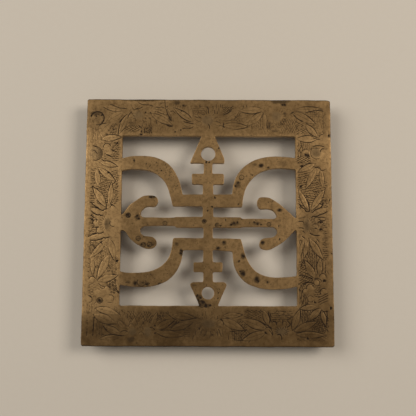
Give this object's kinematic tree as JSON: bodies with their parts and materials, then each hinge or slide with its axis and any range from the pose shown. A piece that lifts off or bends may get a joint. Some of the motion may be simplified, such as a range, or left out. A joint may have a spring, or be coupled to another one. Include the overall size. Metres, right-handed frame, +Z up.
{
  "type": "trivet",
  "caption": "Square pierced brass trivet with an engraved floral border, standing on short turned feet.",
  "frame": {"origin": "centre of the square on the surface that the feet stand on", "axes": "+Z up out of the engraved face, +Y towards the border over the larger hole, +X to the right"},
  "size_m": [0.152, 0.152, 0.012],
  "materials": {
    "engraved_brass": "aged, worn and dull, dark in the engraving",
    "turned_brass": "turned, dull with tarnish",
    "soft_solder": "dull grey, oxidised"
  },
  "bodies": {
    "root": {"plate": "engraved_brass", "foot_front_left": "turned_brass", "foot_front_right": "turned_brass", "foot_back_left": "turned_brass", "foot_back_right": "turned_brass", "solder_front_left": "soft_solder", "solder_front_right": "soft_solder", "solder_back_left": "soft_solder", "solder_back_right": "soft_solder"}
  },
  "joints": []
}
